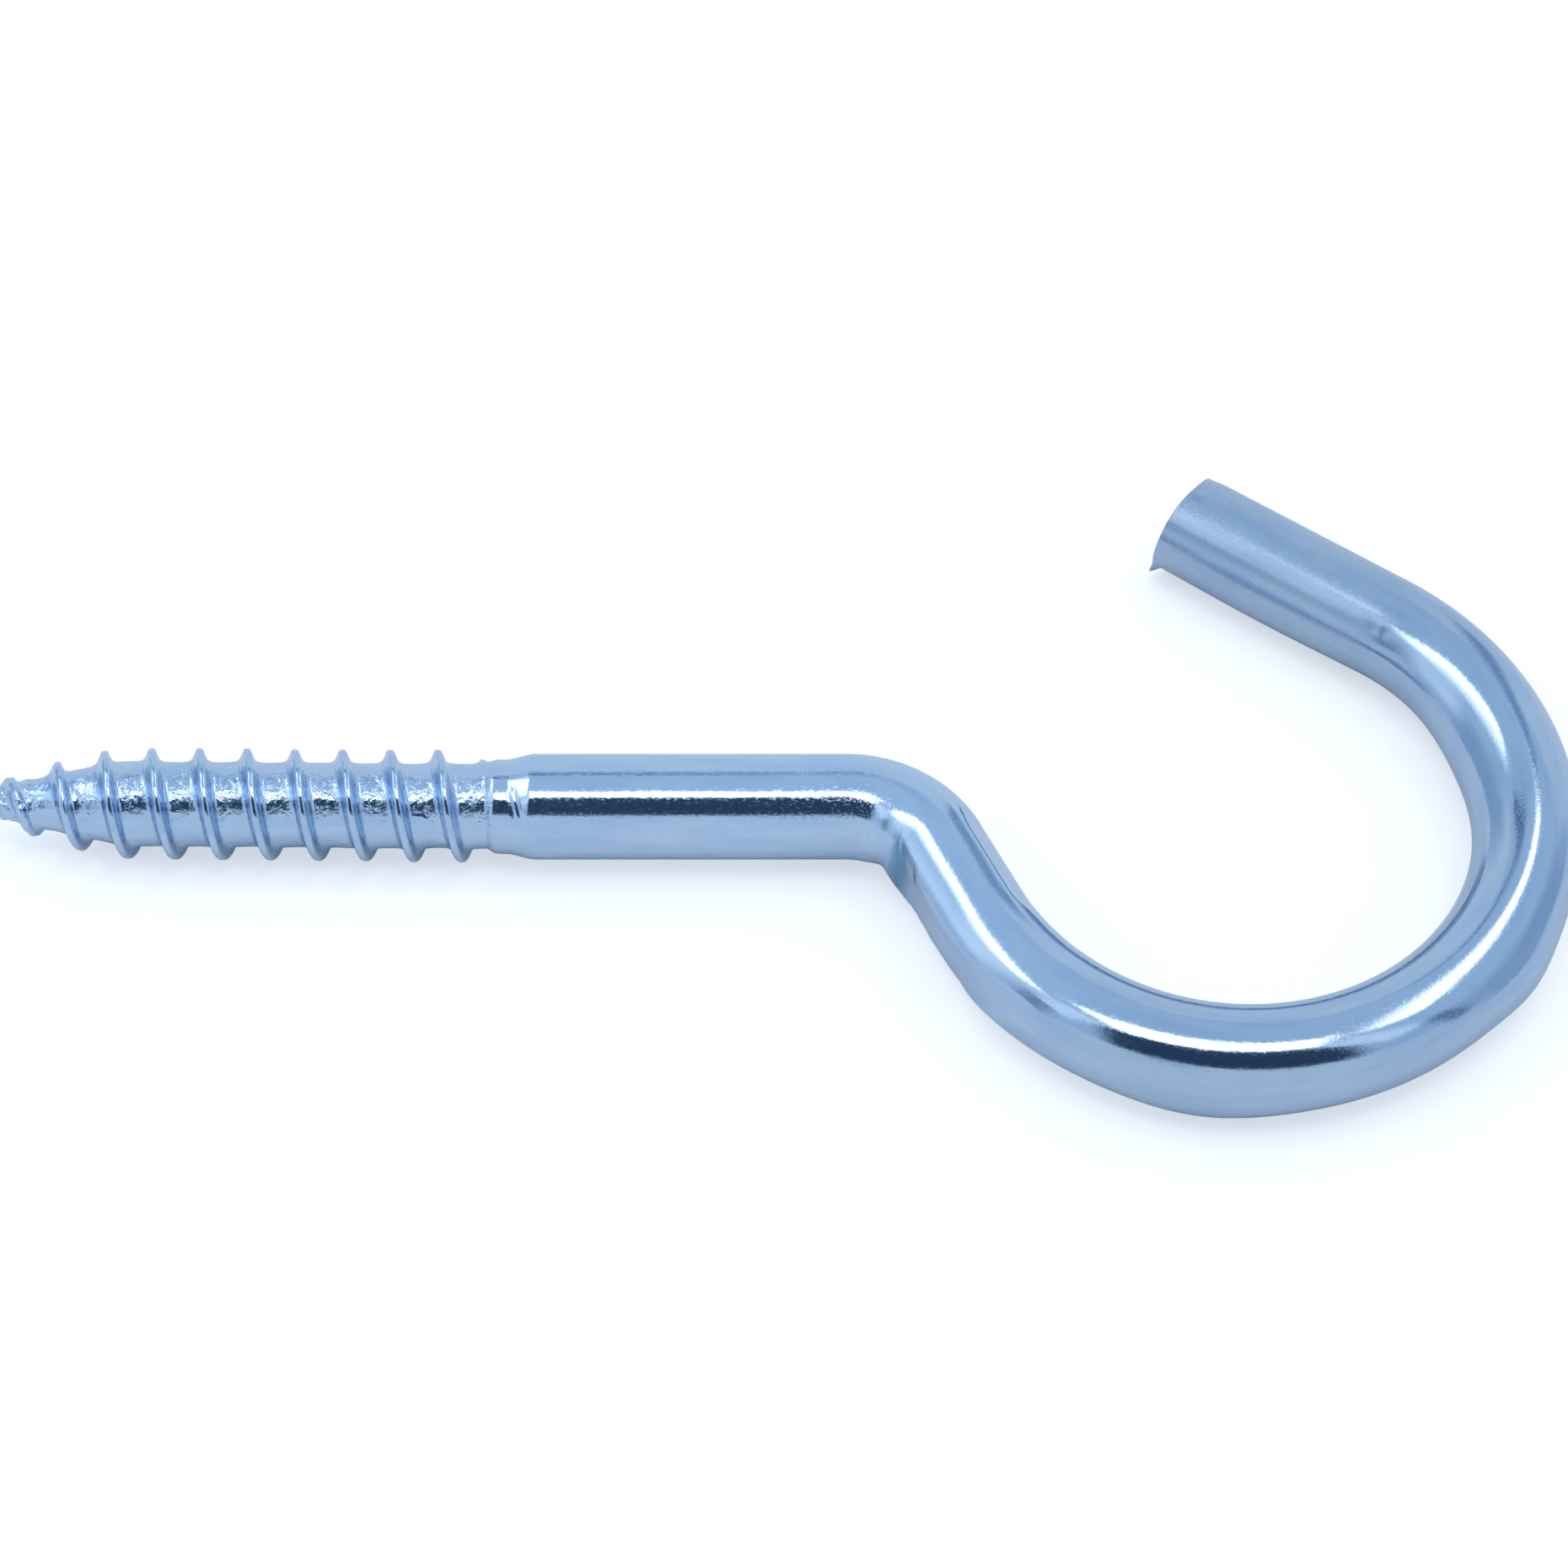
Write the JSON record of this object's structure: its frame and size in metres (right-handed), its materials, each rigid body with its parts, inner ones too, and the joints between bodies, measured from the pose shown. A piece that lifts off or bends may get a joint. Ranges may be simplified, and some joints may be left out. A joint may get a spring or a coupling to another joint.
{
  "type": "screw hook",
  "caption": "Open screw hook in bent wire, with a pointed wood-screw thread, a plain shank and a round hook that ends in a straight tail.",
  "frame": {"origin": "on the shank's axis where the full wire begins, just past the shoulder behind the thread", "axes": "+X along the shank from the point to the hook, +Y towards the side that the hook's mouth is on, +Z square to the flat of the hook, which lies on its side"},
  "size_m": [0.06, 0.0281, 0.0042],
  "materials": {
    "zinc_plate": "bright bluish zinc plate on drawn steel wire"
  },
  "bodies": {
    "root": {"screw_hook": "zinc_plate"}
  },
  "joints": []
}
